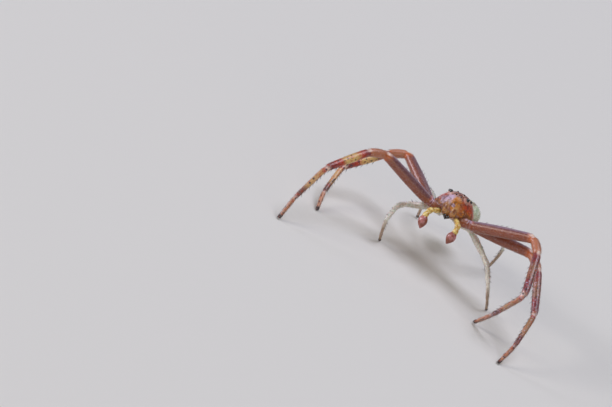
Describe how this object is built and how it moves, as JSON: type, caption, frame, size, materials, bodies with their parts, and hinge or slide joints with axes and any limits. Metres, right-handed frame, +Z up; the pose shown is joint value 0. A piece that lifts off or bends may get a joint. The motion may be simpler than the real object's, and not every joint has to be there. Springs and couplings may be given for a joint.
{
  "type": "crab spider",
  "caption": "Life-size still model of a male flower crab spider, long front legs spread wide, standing on the tips of its feet.",
  "frame": {"origin": "on the floor, under the middle of the spider's outline", "axes": "+X towards the spider's left side, -Y the way it faces, +Z up from the floor"},
  "size_m": [0.0122, 0.0108, 0.0045],
  "materials": {
    "carapace": "waxy orange-brown shell with a pale bloom",
    "underside": "waxy pale brown",
    "abdomen": "soft pale green-white skin",
    "front_leg": "waxy red-brown, paler towards the feet",
    "hind_leg": "translucent pale grey-green",
    "palp": "waxy yellow",
    "palp_bulb": "waxy pink-brown with a lilac bloom",
    "eye": "polished black"
  },
  "bodies": {
    "root": {"abdomen": "abdomen", "carapace": "carapace", "chelicera_L": "carapace", "chelicera_R": "carapace", "eye_ALE_L": "eye", "eye_ALE_R": "eye", "eye_AME_L": "eye", "eye_AME_R": "eye", "eye_PLE_L": "eye", "eye_PLE_R": "eye", "eye_PME_L": "eye", "eye_PME_R": "eye", "leg_L1_femur": "front_leg", "leg_L1_foot": "front_leg", "leg_L1_tibia": "front_leg", "leg_L2_femur": "front_leg", "leg_L2_foot": "front_leg", "leg_L2_tibia": "front_leg", "leg_L3_femur": "hind_leg", "leg_L3_foot": "hind_leg", "leg_L3_tibia": "hind_leg", "leg_L4_femur": "hind_leg", "leg_L4_foot": "hind_leg", "leg_L4_tibia": "hind_leg", "leg_R1_femur": "front_leg", "leg_R1_foot": "front_leg", "leg_R1_tibia": "front_leg", "leg_R2_femur": "front_leg", "leg_R2_foot": "front_leg", "leg_R2_tibia": "front_leg", "leg_R3_femur": "hind_leg", "leg_R3_foot": "hind_leg", "leg_R3_tibia": "hind_leg", "leg_R4_femur": "hind_leg", "leg_R4_foot": "hind_leg", "leg_R4_tibia": "hind_leg", "palp_L": "palp", "palp_R": "palp", "palp_bulb_L": "palp_bulb", "palp_bulb_R": "palp_bulb", "pedicel": "underside", "spinnerets": "underside", "sternum": "underside"}
  },
  "joints": []
}
